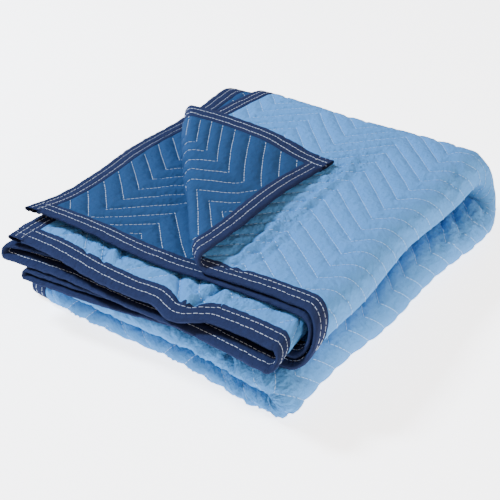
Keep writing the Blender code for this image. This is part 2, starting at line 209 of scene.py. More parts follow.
@dataclass(frozen=True)
class Folds:
    """The folds of the pack, as one map from the flat blanket to the folded one."""

    cut: Cut = Cut()
    pitch: float = 0.0073
    layers: int = 16
    roll: float = 0.0085
    flap_gap: float = 0.0010
    flap_margin: float = 0.1
    flap_close: float = 0.16
    flap_skew: float = 0.29
    flap_lift: float = 0.004
    flap_lift_width: float = 0.13
    flap_far_lift: float = 0.016
    flap_far_width: float = 0.20
    flap_far_reach: float = 0.12
    far_axis: float = 0.073
    flare: float = 1.7
    flare_length: float = 0.44
    swell: float = 0.012
    swell_lengths: tuple[float, float] = (0.43, 0.51)
    drift: float = 0.003
    drift_lengths: tuple[float, float] = (0.27, 0.23)
    drift_per_height: float = 22.0
    to_middle: Place = (0.0149, 0.1441, 0.0)
    ends: dict[tuple[int, int], Ends] = field(default_factory=quarter_table)
    axes_far: tuple[float, ...] = (0.150, 0.174, 0.172, 0.144)
    axes_near: tuple[float, ...] = (0.186, 0.178, 0.172, 0.178)
    edge_depth: float = 0.080
    edge_hold: float = 1.5
    edge_moves: tuple[EdgeMove, ...] = EDGE_MOVES

    @property
    def bend_x(self) -> float:
        """Where the bends on the right begin, across the half that is folded there."""
        return 0.25 * self.cut.width - 0.5 * self.band(3.5)

    @property
    def bend_y(self) -> float:
        """Where the far bends begin, along the half that is folded there."""
        return 0.25 * self.cut.length - 0.5 * self.band(7.5)

    def band(self, layers: float) -> float:
        """Length of the middle cloth in a half-circle round this many layers."""
        return layers * math.pi * self.pitch

    @staticmethod
    def bent(along: Array, height: Array, start: float, band: float, axis: float) -> tuple[Array, Array]:
        """Carries points through a half-circle about a line, and back again.

        Over the band the direction turns by pi, and a point at the height h keeps its distance
        h - axis from the line: along becomes the straight part plus |r| sin, height axis + r cos.

        Args:
            along: distances across the bend.
            height: heights over the middle of the lowest cloth before the bend.
            start: where the bend starts.
            band: how long it is, measured in the cloth.
            axis: height of the line that it turns about.

        Returns:
            The new distances and heights.
        """
        turn = math.pi * np.clip((along - start) / band, 0.0, 1.0)
        radius = height - axis
        straight = np.minimum(along, start) - np.maximum(along - start - band, 0.0)
        return straight + np.abs(radius) * np.sin(turn), axis + radius * np.cos(turn)

    def turn_line(self) -> tuple[float, float, float]:
        """Unit normal of the turned corner's fold line, towards the corner, and its distance."""
        corner_u, corner_v = self.cut.corner
        reach = math.hypot(corner_u, corner_v)
        return -corner_v / reach, -corner_u / reach, corner_u * corner_v / reach

    def beyond(self, u: Array, v: Array) -> Array:
        """Distance past the turned corner's fold line, towards the corner."""
        nu, nv, distance = self.turn_line()
        return u * nu + v * nv + distance

    def turned_back(self, u: Array, v: Array, w: Array) -> tuple[Array, Array, Array]:
        """Turns the corner at u = v = 0 up and over its fold line, to lie on the light face.

        The cloth goes round a roll, closes down to its rest height with a smooth step, its open
        edge lifts by a half sine wave, its far edge rises with the roll and falls to the tip, and
        it slides along the roll in proportion to its reach.
        """
        nu, nv, distance = self.turn_line()
        corner_u, corner_v = self.cut.corner
        beyond = self.beyond(u, v)
        flap = (beyond > 0.0) & (u < corner_u + self.flap_margin) & (v < corner_v + self.flap_margin)
        length = math.pi * self.roll
        carried, height = self.bent(beyond, w, 0.0, length, self.roll)
        back = np.maximum(beyond - length, 0.0)
        rest = self.cut.cloth + self.flap_gap
        height = height - (2.0 * self.roll - rest) * smooth(back / self.flap_close)
        open_edge = smooth(1.0 - v / self.flap_lift_width)
        height = height + self.flap_lift * open_edge * np.sin(math.pi * np.clip(back / distance, 0.0, 1.0))
        far_edge = smooth(1.0 - u / self.flap_far_width) * smooth(v / self.flap_far_reach)
        height = height + self.flap_far_lift * far_edge * smooth(beyond / length)
        slide = self.flap_skew * back
        flap_u = u + (carried - beyond) * nu + slide * nv
        flap_v = v + (carried - beyond) * nv - slide * nu
        return np.where(flap, flap_u, u), np.where(flap, flap_v, v), np.where(flap, height, w)

    @staticmethod
    def shares(along: Array, size: float, quarter_band: float, half_band: float) -> list[Array]:
        """Share of each quarter of the cloth, passing smoothly over inside the folds."""
        first = smooth((along - 0.25 * size) / quarter_band + 0.5)
        middle = smooth((along - 0.50 * size) / half_band + 0.5)
        last = smooth((along - 0.75 * size) / quarter_band + 0.5)
        return [1.0 - first, first - middle, middle - last, last]

    def edges_moved(self, across: list[Array], along: list[Array], x: Array, y: Array) -> tuple[Array, Array]:
        """How far the free front edges are pushed forward and how far they drop.

        Each move is a smooth bump along the edge. The push holds over the tape and then fades by a
        smooth step, and the drop fades as the square of the way back to the depth.

        Args:
            across: share of each quarter across the blanket, at each place.
            along: share of each quarter along it.
            x: places across the folded cloth, from the left.
            y: places along it, from the front.

        Returns:
            The push and the drop at each place.
        """
        left = 1.0 - x / self.bend_x
        fade = np.clip(1.0 - y / self.edge_depth, 0.0, 1.0)
        forward = np.zeros_like(x)
        drop = np.zeros_like(x)
        for move in self.edge_moves:
            stretch = smooth(1.0 - np.abs(left - move.middle) / move.reach)
            share = across[move.across] * along[move.along] * stretch
            forward = forward + move.forward * share * smooth(self.edge_hold * fade)
            drop = drop + move.drop * share * fade**2
        return forward, drop

    def laid_out(self, across: list[Array], along: list[Array], x: Array, y: Array) -> tuple[Array, Array]:
        """Stretches each quarter in plan so that its ends lie where the tables put them.

        Between its ends a quarter is stretched evenly, with the slant of its front and left ends
        added as squares of the distance from the bends, and the bends' axis moves with the plan y.

        Args:
            across: share of each quarter across the blanket, at each place.
            along: share of each quarter along it.
            x: places across the folded cloth.
            y: places along it.

        Returns:
            The places in plan.
        """
        right = x / self.bend_x
        far = y / self.bend_y
        left = np.clip(1.0 - right, 0.0, 1.0)
        near = np.clip(1.0 - far, 0.0, 1.0)
        left_near, left_far, front_left, front_right = (
            sum(across[i] * along[j] * getattr(ends, name) for (i, j), ends in self.ends.items())
            for name in ("left_near", "left_far", "front_left", "front_right")
        )
        axis_far = sum(share * axis for share, axis in zip(along, self.axes_far))
        axis_near = sum(share * axis for share, axis in zip(along, self.axes_near))
        flat_y = front_right + (self.far_axis - front_right) * far
        flat_y = flat_y + (front_left - front_right) * left * near**2
        plan_y = np.where(y < self.bend_y, flat_y, self.far_axis + y - self.bend_y)
        forward = np.maximum(self.far_axis - plan_y, 0.0) / self.flare_length
        axis = axis_far + (axis_near - axis_far) * forward**self.flare
        flat_x = left_far + (axis_far - left_far) * right
        flat_x = flat_x + (left_near - left_far) * near * left**2
        flat_x = flat_x + (axis - axis_far) * (1.0 - left) ** 3
        return np.where(x < self.bend_x, flat_x, axis + x - self.bend_x), plan_y

    def uneven(self, x: Array, y: Array, z: Array) -> tuple[Array, Array, Array]:
        """Swells the pack a little from place to place, and lets its edges drift, in sine waves."""
        turn = 2.0 * math.pi
        swell_x, swell_y = self.swell_lengths
        drift_x, drift_y = self.drift_lengths
        swell = np.sin(turn * x / swell_x + 0.8) * np.cos(turn * y / swell_y - 0.4)
        moved_x = x + self.drift * np.sin(turn * y / drift_y + self.drift_per_height * z)
        moved_y = y + self.drift * np.sin(turn * x / drift_x - self.drift_per_height * z + 1.1)
        return moved_x, moved_y, z * (1.0 + self.swell * swell)

    def folded(self, points: Array) -> Array:
        """Takes points (u, v, w) of the flat blanket to their places in the folded pack.

        Args:
            points: an array of flat coordinates, one row a point.

        Returns:
            The array of their places in the pack.
        """
        u, v, w = np.asarray(points, dtype=float).T
        x, y, h = self.turned_back(u, v, w)
        half_x = 0.5 * (self.cut.width - self.band(0.5))
        half_y = 0.5 * (self.cut.length - self.band(1.5))
        x, h = self.bent(x, h, half_x, self.band(0.5), -0.5 * self.pitch)
        y, h = self.bent(y, h, half_y, self.band(1.5), -1.5 * self.pitch)
        x, h = self.bent(x, h, self.bend_x, self.band(3.5), -3.5 * self.pitch)
        y, h = self.bent(y, h, self.bend_y, self.band(7.5), -7.5 * self.pitch)
        across = self.shares(u, self.cut.width, self.band(3.5), self.band(0.5))
        along = self.shares(v, self.cut.length, self.band(7.5), self.band(1.5))
        forward, drop = self.edges_moved(across, along, x, y)
        x, y = self.laid_out(across, along, x, y)
        z = h - drop + (self.layers - 1) * self.pitch + 0.5 * self.cut.cloth
        x, y, z = self.uneven(x, y - forward, z)
        return np.stack([x, y, np.maximum(z, 0.0)], axis=1) + np.array(self.to_middle)


@dataclass(frozen=True)
class Crease:
    """A soft ridge or trough of the cloth between two places on the flat blanket."""

    start: tuple[float, float]
    end: tuple[float, float]
    width: float
    height: float

    def raised(self, u: Array, v: Array) -> Array:
        """Height times a bell curve of the distance from the line over the width."""
        (u0, v0), (u1, v1) = self.start, self.end
        du, dv = u1 - u0, v1 - v0
        share = np.clip(((u - u0) * du + (v - v0) * dv) / (du * du + dv * dv), 0.0, 1.0)
        off = np.hypot(u - u0 - share * du, v - v0 - share * dv)
        return self.height * np.exp(-((off / self.width) ** 2))


@dataclass(frozen=True)
class Tuck:
    """A sharp step down of one face, to the left of a line on the flat blanket, that runs out softly."""

    start: tuple[float, float]
    end: tuple[float, float]
    width: float
    depth: float
    side: Side = Side.FACE

    def raised(self, u: Array, v: Array) -> Array:
        """Minus the depth times d e^(1 - d), d the distance left of the line over the width."""
        (u0, v0), (u1, v1) = self.start, self.end
        length = math.hypot(u1 - u0, v1 - v0)
        du, dv = (u1 - u0) / length, (v1 - v0) / length
        along = (u - u0) * du + (v - v0) * dv
        off = np.clip((v - v0) * du - (u - u0) * dv, 0.0, None) / self.width
        ends = smooth(along / self.width + 0.5) * smooth((length - along) / self.width + 0.5)
        return -self.depth * ends * off * np.exp(1.0 - np.clip(off, 0.0, 9.0))


@dataclass(frozen=True)
class Rumple:
    """A patch of small wrinkles, strongest at its middle."""

    middle: tuple[float, float]
    reach: tuple[float, float]
    length: float
    height: float
    seed: float

    def bell(self, u: Array, v: Array) -> Array:
        """1 at the patch's middle, falling off as a bell curve over its reach."""
        across = (u - self.middle[0]) / self.reach[0]
        along = (v - self.middle[1]) / self.reach[1]
        return np.exp(-(across**2) - along**2)

    def raised(self, u: Array, v: Array) -> Array:
        """Ridges where a wave is near nought, under the patch's bell."""
        ridges = 1.0 - 1.6 * np.abs(waves(u, v, self.length, self.seed))
        return self.height * self.bell(u, v) * ridges


@dataclass(frozen=True)
class Relief:
    """How far the cloth's outer faces stand from its middle, and how its middle rises and falls."""

    cut: Cut = Cut()
    folds: Folds = Folds()
    groove: float = 0.0017
    groove_power: float = 3.0
    loft: float = 0.0012
    loft_power: float = 1.8
    bend_loft: float = -0.0004
    bend_soft: float = 0.03
    right_early: float = 0.005
    right_short: float = 0.01
    nose_reach: float = 0.022
    nose_share: float = 0.6
    lower_reach: float = 0.46
    unevenness: float = 0.0004
    uneven_length: float = 0.09
    pucker: float = 0.0005
    pucker_length: float = 0.011
    crumple: float = 0.00035
    crumple_length: float = 0.021
    tape_room: float = 0.0003
    crisp_edge: tuple[float, float] = (0.416, 0.446)
    crisp_soft: float = 0.006
    creases: tuple[Crease, ...] = ()
    rumples: tuple[Rumple, ...] = ()
    tucks: tuple[Tuck, ...] = ()

    def pillow(self, u: Array, v: Array, power: float) -> Array:
        """0 on a quilting line, 1 midway between two, as one less a power of the way to the line."""
        phase = self.cut.phase(u, v)
        t = 2.0 * np.abs(phase - np.round(phase))
        return 1.0 - (1.0 - t) ** power

    def outer_bends(self, u: Array, v: Array) -> Array:
        """1 on the outermost bends of the pack, where the loft changes by bend_loft, and 0 elsewhere."""
        folds, soft = self.folds, self.bend_soft
        middle_u, middle_v = 0.5 * self.cut.width, 0.5 * self.cut.length
        right_end = folds.bend_x + folds.band(3.5) - self.right_short
        right = window(u, folds.bend_x - self.right_early, right_end, soft)
        far = window(v, folds.bend_y, folds.bend_y + folds.band(7.5), soft)
        near_half = smooth((middle_u - u) / soft + 1.0)
        nose = window(v, middle_v - self.nose_reach, middle_v + self.nose_reach, soft)
        lower = smooth((v - middle_v + self.lower_reach) / soft) * smooth((middle_v + soft - v) / soft)
        return np.clip(right * lower + far * near_half + self.nose_share * nose * near_half, 0.0, 1.0)

    def middle(self, u: Array, v: Array) -> Array:
        """Rise of the cloth's middle, as the sum of slight unevenness, the creases and the rumples."""
        total = self.unevenness * waves(u, v, self.uneven_length, 0.7)
        for fold in self.creases + self.rumples:
            total = total + fold.raised(u, v)
        return total

    def rumpled(self, u: Array, v: Array) -> Array:
        """How rumpled the cloth is, from 0 to 1: the largest of the patches' bells."""
        return np.max([patch.bell(u, v) for patch in self.rumples], axis=0)

    def outer(self, u: Array, v: Array, side: Side) -> Array:
        """The w of an outer cloth: its half-thickness, grooved, puffed and puckered, on its side.

        Args:
            u: places across the flat blanket.
            v: places along it.
            side: which outer cloth.

        Returns:
            The w of each place.
        """
        past = self.cut.from_edge(u, v) - self.cut.tape_width
        inside = smooth((past + 0.001) / 0.008)
        narrow = self.pillow(u, v, self.groove_power)
        wide = self.pillow(u, v, self.loft_power)
        bends = self.outer_bends(u, v)
        before_nose = smooth((0.5 * self.cut.length - self.bend_soft - v) / self.bend_soft)
        pressed = window(u, *self.crisp_edge, self.crisp_soft) * before_nose
        inside = inside * (1.0 - pressed)
        half = 0.5 * self.cut.cloth - self.groove * (1.0 - narrow) * inside
        half = half + (self.loft + self.bend_loft * bends) * wide * inside
        near_line = (1.0 - wide) * wide * 4.0
        half = half + self.pucker * near_line * waves(u, v, self.pucker_length, 2.0 + side.value) * inside
        half = half + self.crumple * waves(u, v, self.crumple_length, 4.0 + side.value) * inside
        for tuck in self.tucks:
            if tuck.side is side:
                half = half + tuck.raised(u, v)
        half = half - (self.cut.tape + self.tape_room) * (1.0 - smooth((past + 0.002) / 0.003))
        return side.value * half + self.middle(u, v)


@dataclass(frozen=True)
class Opened:
    """A rectangle of the flat cloth that shows in the pack, and so is made finely."""

    u: tuple[float, float]
    v: tuple[float, float]

    def holds(self, u: Array, v: Array) -> Array:
        """Whether these places lie in the rectangle."""
        return (u > self.u[0]) & (u < self.u[1]) & (v > self.v[0]) & (v < self.v[1])


def shown(stretches: tuple[Opened, ...], u: Array, v: Array) -> Array:
    """Whether these places lie in any of the stretches."""
    return np.any([stretch.holds(u, v) for stretch in stretches], axis=0)


def placed(name: str, data: bpy.types.ID) -> bpy.types.Object:
    """Makes an object of some data and puts it into the scene."""
    made = bpy.data.objects.new(name, data)
    bpy.context.scene.collection.objects.link(made)
    return made


def mesh_object(name: str, places: Array, loops: Array, counts: Array, flat: Array) -> bpy.types.Object:
    """Makes an object from arrays.

    Args:
        name: the object's name.
        places: the points, one row each.
        loops: the corners of all faces, one after the other.
        counts: how many corners each face has.
        flat: the flat (u, v) of each point, kept as the mesh's UV map.

    Returns:
        The new object, in the scene and shaded smooth.
    """
    mesh = bpy.data.meshes.new(name)
    faces = np.split(loops, np.cumsum(counts)[:-1])
    mesh.from_pydata(places, [], faces)
    layer = mesh.uv_layers.new(name="cloth")
    corners = np.empty(len(mesh.loops), dtype=np.int32)
    mesh.loops.foreach_get("vertex_index", corners)
    layer.data.foreach_set("uv", flat[corners].astype(np.float32).ravel())
    mesh.polygons.foreach_set("use_smooth", np.ones(len(mesh.polygons), dtype=bool))
    mesh.update()
    return placed(name, mesh)


@dataclass(frozen=True)
class Panel:
    """One outer cloth, as a sheet whose lattice runs along the quilting lines."""

    side: Side
    relief: Relief
    folds: Folds
    opened: tuple[Opened, ...]
    columns: int = 24
    row_cuts: tuple[float, ...] = (0.0, 0.08, 0.25, 0.5, 0.75, 0.92)
    block_columns: int = 4
    trim: float = 0.012
    fine_edge: float = 0.02
    bend_tolerance: float = 0.0015

    def lattice(self) -> tuple[Array, Array]:
        """The lattice's u and v, one row of the arrays for each step along the blanket.

        u steps evenly from a chevron's corner to the next, and v is a row's place plus the
        chevron's height at u, held inside the trimmed edge.
        """
        cut = self.relief.cut
        step = 0.5 * cut.chevron_period / self.columns
        first = math.floor((self.trim - cut.first_valley) / step / self.block_columns) * self.block_columns
        last = math.ceil((cut.width - self.trim - cut.first_valley) / step / self.block_columns)
        u = cut.first_valley + step * np.arange(first, last * self.block_columns + 1)
        lowest = math.floor((self.trim - cut.chevron_height - cut.first_row) / cut.row_spacing)
        highest = math.ceil((cut.length - self.trim - cut.first_row) / cut.row_spacing)
        rows = np.add.outer(np.arange(lowest, highest), np.array(self.row_cuts)).ravel()
        rows = np.append(rows, float(highest))
        u = np.broadcast_to(u, (len(rows), len(u)))
        v = cut.line(u, cut.first_row + cut.row_spacing * rows[:, None])
        u = np.clip(u, self.trim, cut.width - self.trim)
        return u, np.clip(v, self.trim, cut.length - self.trim)

    def is_fine(self, u: Array, v: Array) -> Array:
        """Whether places lie by the blanket's edge or in a stretch that shows."""
        return (self.relief.cut.from_edge(u, v) < self.fine_edge) | shown(self.opened, u, v)

    def bending(self, u: Array, v: Array) -> Array:
        """Whether blocks bend: the middle of one, or of a side, stands off its corners' mean."""
        up, across = len(self.row_cuts) // 2, self.block_columns // 2
        u, v = u[::up, ::across], v[::up, ::across]
        flat = np.stack([u.ravel(), v.ravel(), np.zeros(u.size)], axis=1)
        places = self.folds.folded(flat).reshape(*u.shape, 3)
        sides = places[:, 1::2] - 0.5 * (places[:, :-2:2] + places[:, 2::2])
        ends = places[1::2] - 0.5 * (places[:-2:2] + places[2::2])
        middles = sides[1::2] + 0.5 * (ends[:, :-2:2] + ends[:, 2::2])
        offs = (sides[:-2:2], sides[2::2], ends[:, :-2:2], ends[:, 2::2], middles)
        return np.max([np.linalg.norm(off, axis=2) for off in offs], axis=0) > self.bend_tolerance

    def faces(self, u: Array, v: Array) -> tuple[Array, Array]:
        """The corners of all faces and their counts.

        A block that shows or bends has all its small faces. Another block is one face, whose
        corners are the points of its rim that its neighbours use.

        Args:
            u: the lattice's places across the flat blanket.
            v: its places along it.

        Returns:
            The corners of all faces, one after the other, and how many each face has.
        """
        tall, wide = len(self.row_cuts), self.block_columns
        index = np.arange(u.size).reshape(u.shape)
        rows, columns = (u.shape[0] - 1) // tall, (u.shape[1] - 1) // wide
        fine = self.bending(u, v)
        for a in (0, tall // 2, tall):
            for b in (0, wide // 2, wide):
                block_u, block_v = (grid[a::tall, b::wide][:rows, :columns] for grid in (u, v))
                fine |= self.is_fine(block_u, block_v)
        cells = np.repeat(np.repeat(fine, tall, axis=0), wide, axis=1)
        corner = index[:-1, :-1][cells]
        step = u.shape[1]
        quads = np.stack([corner, corner + 1, corner + 1 + step, corner + step], axis=1)
        used = np.zeros(u.size, dtype=bool)
        used[quads.ravel()] = True
        used[index[::tall, ::wide].ravel()] = True
        along = np.arange(wide)
        up = np.arange(tall) * step
        rim = np.concatenate([along, wide + up, wide + tall * step - along, tall * step - up])
        blocks = index[:-1:tall, :-1:wide][~fine][:, None] + rim[None, :]
        kept = used[blocks]
        loops = np.concatenate([quads.ravel(), blocks[kept]])
        counts = np.concatenate([np.full(len(quads), 4), kept.sum(axis=1)])
        if self.side is Side.BACK:
            ends = np.cumsum(counts)
            starts = ends - counts
            owner = np.repeat(np.arange(len(counts)), counts)
            loops = loops[starts[owner] + ends[owner] - 1 - np.arange(len(loops))]
        return loops, counts

    def build(self, name: str) -> bpy.types.Object:
        """Makes the folded cloth as one open sheet."""
        u, v = self.lattice()
        loops, counts = self.faces(u, v)
        u, v = u.ravel(), v.ravel()
        w = self.relief.outer(u, v, self.side)
        places = self.folds.folded(np.stack([u, v, w], axis=1))
        made = mesh_object(name, places, loops, counts, np.stack([u, v], axis=1))
        layer = made.data.attributes.new("rumpled", "FLOAT", "POINT")
        layer.data.foreach_set("value", self.relief.rumpled(u, v).astype(np.float32))
        self.tidy(made)
        return made

    @staticmethod
    def tidy(made: bpy.types.Object) -> None:
        """Joins points that the trimmed edge brings together and drops what they leave."""
        mesh = bmesh.new()
        mesh.from_mesh(made.data)
        loose = [vert for vert in mesh.verts if not vert.link_faces]
        bmesh.ops.delete(mesh, geom=loose, context="VERTS")
        bmesh.ops.remove_doubles(mesh, verts=mesh.verts[:], dist=0.00002)
        bmesh.ops.dissolve_degenerate(mesh, edges=mesh.edges[:], dist=0.00002)
        mesh.to_mesh(made.data)
        mesh.free()
        made.data.update()


@dataclass(frozen=True)
class Tape:
    """Binding tape folded round one edge, with two stitched furrows on each side."""

    along_v: bool
    at_end: bool
    relief: Relief
    folds: Folds
    spacing: float = 0.0032
    stitch_rows: tuple[float, float] = (0.0088, 0.0192)
    out: float = 0.0013
    tucked_under: float = 0.004

    def profile(self) -> tuple[Array, Array]:
        """Distances in from the edge and half-heights of the tape's section, face side first."""
        half, width = 0.5 * self.relief.cut.cloth, self.relief.cut.tape_width
        outer, inner = self.stitch_rows
        upper = [(width - 0.0006, half - 0.0010), (width, half - 0.0004), (width - 0.0008, half)]
        upper += [(inner + 0.0036, half + 0.0002), (inner + 0.0014, half), (inner, half - 0.0004)]
        upper += [(inner - 0.0014, half), (inner - 0.0036, half + 0.0003)]
        upper += [(outer + 0.0030, half + 0.0003), (outer + 0.0014, half), (outer, half - 0.0004)]
        upper += [(outer - 0.0014, half), (outer - 0.0034, half + 0.0003)]
        upper += [(0.0020, half), (-0.0006, half - 0.0009), (-self.out, 0.0)]
        lower = [(inward, -height) for inward, height in reversed(upper[:-1])]
        section = np.array(upper + lower)
        return section[:, 0], section[:, 1]

    def outline(self) -> tuple[float, float]:
        """Where the tape starts and ends along its edge: the side tapes go over the corners."""
        cut = self.relief.cut
        start = -self.out if self.along_v else cut.tape_width - self.tucked_under
        return start, (cut.length if self.along_v else cut.width) - start

    def flat(self, along: Array, inward: Array, height: Array) -> Array:
        """Flat places of points of the tape, a little uneven along its edge and its faces.

        Args:
            along: distances along the edge.
            inward: distances in from it.
            height: heights over the blanket's middle.

        Returns:
            One row (u, v, w) a point.
        """
        cut = self.relief.cut
        size = cut.width if self.along_v else cut.length
        seed = 1.0 + 2.0 * self.at_end + 0.5 * self.along_v
        wobble = 0.0007 * waves(along, 0.3 * along, 0.034, seed)
        inward = inward - wobble * (1.0 - np.clip(inward / 0.02, 0.0, 1.0))
        ripple = 0.00035 * waves(along, 2.5 * inward, 0.013, seed + 0.4) * np.sign(height)
        place = size - inward if self.at_end else inward
        u, v = (place, along) if self.along_v else (along, place)
        return np.stack([u, v, height + ripple + self.relief.middle(u, v)], axis=1)

    def build(self, name: str) -> bpy.types.Object:
        """Carries the section along its edge and folds it with the blanket."""
        inward, height = self.profile()
        start, end = self.outline()
        along = np.linspace(start, end, int((end - start) / self.spacing) + 1)
        a = np.repeat(along, len(inward))
        points = self.flat(a, np.tile(inward, len(along)), np.tile(height, len(along)))
        index = np.arange(len(a)).reshape(len(along), len(inward))
        quads = np.stack([index[:-1, :-1], index[:-1, 1:], index[1:, 1:], index[1:, :-1]], axis=-1)
        quads = quads.reshape(-1, 4)
        if self.along_v != self.at_end:
            quads = quads[:, ::-1]
        places = self.folds.folded(points)
        counts = np.full(len(quads), 4)
        steps = np.hypot(np.diff(inward, prepend=inward[0]), np.diff(height, prepend=height[0]))
        across = np.tile(np.cumsum(steps), len(along))
        return mesh_object(name, places, quads.ravel(), counts, np.stack([a, across], axis=1))


@dataclass(frozen=True)
class Thread:
    """Stitches, each a short capsule of thread lying along its line."""

    folds: Folds
    length: float = 0.0048
    pitch: float = 0.0056
    radius: float = 0.00042
    shoulder: float = 0.72
    flatness: float = 0.8
    stand: float = 0.5
    dip: float = 0.6

    def stitched(self, name: str, runs: list[Run]) -> bpy.types.Object:
        """Makes all stitches of some runs.

        Args:
            name: the object's name.
            runs: for each run the flat middles (u, v, w), the unit directions in the flat, the
                share of each stitch's length, and the side that it lies on.

        Returns:
            The joined stitches. Each is a tip, two rings of four and a tip, and dips towards its
            tips as the square of the way.
        """
        middles, ahead, share = (np.concatenate([run[part] for run in runs]) for part in range(3))
        side = np.concatenate([np.full(len(run[0]), run[3]) for run in runs])
        across = np.stack([-ahead[:, 1], ahead[:, 0]], axis=1)
        reach = 0.5 * self.length * share
        steps = [(-1.0, 0.0, 0.0)]
        for place in (-self.shoulder, self.shoulder):
            steps += [(place, 1.0, 0.0), (place, 0.0, 1.0), (place, -1.0, 0.0), (place, 0.0, -1.0)]
        steps += [(1.0, 0.0, 0.0)]
        points = []
        for along, wide, high in steps:
            u = middles[:, 0] + along * reach * ahead[:, 0] + wide * self.radius * across[:, 0]
            v = middles[:, 1] + along * reach * ahead[:, 1] + wide * self.radius * across[:, 1]
            rise = high * self.flatness + self.stand - self.dip * along * along
            w = middles[:, 2] + side * self.radius * rise
            points.append(np.stack([u, v, w], axis=1))
        flat = np.stack(points, axis=1).reshape(-1, 3)
        tips = [[0, 2, 1], [0, 3, 2], [0, 4, 3], [0, 1, 4], [9, 5, 6], [9, 6, 7], [9, 7, 8], [9, 8, 5]]
        sides = [[1, 2, 6, 5], [2, 3, 7, 6], [3, 4, 8, 7], [4, 1, 5, 8]]
        shape = np.array([corner for face in tips + sides for corner in face])
        counts = np.array([3] * 8 + [4] * 4)
        starts = 10 * np.arange(len(middles))
        loops = starts[:, None] + shape[None, :]
        flipped = side < 0.0
        ends = zip(np.cumsum(counts), counts)
        order = np.concatenate([np.arange(end - count, end)[::-1] for end, count in ends])
        loops[flipped] = loops[flipped][:, order]
        places = self.folds.folded(flat)
        return mesh_object(name, places, loops.ravel(), np.tile(counts, len(middles)), flat[:, :2])


@dataclass(frozen=True)
class QuiltingThread:
    """The quilting stitches that show on one side."""

    thread: Thread
    relief: Relief
    side: Side
    opened: tuple[Opened, ...]
    step: float = 0.0005
    rows_before: int = 3
    wobble: float = 0.0003
    edge_room: float = 0.002
    lift: float = 0.0002

    def runs(self) -> list[Run]:
        """Stitches evenly spaced along every quilting line, each along the line's slope there."""
        cut = self.relief.cut
        fine = np.arange(0.0, cut.width, self.step)
        rows = np.arange(-self.rows_before, int(cut.length / cut.row_spacing) + 1)
        runs = []
        for row in rows:
            line = cut.line(fine, cut.first_row + cut.row_spacing * row)
            run = np.append(0.0, np.cumsum(np.hypot(np.diff(fine), np.diff(line))))
            u = np.interp(np.arange(0.0, run[-1], self.thread.pitch), run, fine)
            v, slope = np.interp(u, fine, line), np.interp(u, fine, np.gradient(line, fine))
            v = v + self.wobble * waves(u, v, 0.05, 0.3 * row)
            shows = (cut.from_edge(u, v) > cut.tape_width + self.edge_room) & shown(self.opened, u, v)
            u, v, slope = u[shows], v[shows], slope[shows]
            ahead = np.stack([np.ones_like(u), slope], axis=1) / np.hypot(1.0, slope)[:, None]
            w = self.relief.outer(u, v, self.side) + self.lift * self.side.value
            share = 1.0 + 0.06 * waves(u, v, 0.02, 1.7)
            runs.append((np.stack([u, v, w], axis=1), ahead, share, float(self.side.value)))
        return runs


@dataclass(frozen=True)
class TapeThread:
    """The two rows of stitches along each tape, on both sides, that cross at the corners."""

    thread: Thread
    tapes: tuple[Tape, ...]
    margin: float = 0.004
    wander: float = 0.0004
    sunk: float = 0.0002

    def runs(self) -> list[Run]:
        """Stitches at an even pitch along each row of each tape."""
        runs = []
        for tape in self.tapes:
            cut = tape.relief.cut
            start, end = tape.outline()
            for inward in tape.stitch_rows:
                along = np.arange(self.margin, end + start - self.margin, self.thread.pitch)
                drifted = inward + self.wander * waves(along, along, 0.08, 9.0 * inward + tape.at_end)
                for side in (1.0, -1.0):
                    height = np.full_like(along, side * (0.5 * cut.cloth - self.sunk))
                    points = tape.flat(along, drifted, height)
                    ahead = np.tile((0.0, 1.0) if tape.along_v else (1.0, 0.0), (len(along), 1))
                    runs.append((points, ahead, np.ones_like(along), side))
        return runs


class Socket:
    """A number socket in a node tree, with arithmetic that adds Math nodes."""

    def __init__(self, shader: "Shader", output: bpy.types.NodeSocket) -> None:
        """Wraps an output socket of the shader's tree."""
        self.shader = shader
        self.output = output

    def _join(self, operation: str, *values: "Socket | float") -> "Socket":
        """A Math node of this operation on these values."""
        return self.shader.node("ShaderNodeMath", {"operation": operation}, dict(enumerate(values)))

    def __add__(self, other: "Socket | float") -> "Socket":
        """Sum."""
        return self._join("ADD", self, other)

    def __sub__(self, other: "Socket | float") -> "Socket":
        """Difference."""
        return self._join("SUBTRACT", self, other)

    def __rsub__(self, other: "Socket | float") -> "Socket":
        """Reflected difference."""
        return self._join("SUBTRACT", other, self)

    def __mul__(self, other: "Socket | float") -> "Socket":
        """Product."""
        return self._join("MULTIPLY", self, other)

    __radd__ = __add__
    __rmul__ = __mul__

    def wave(self) -> "Socket":
        """Sine."""
        return self._join("SINE", self)


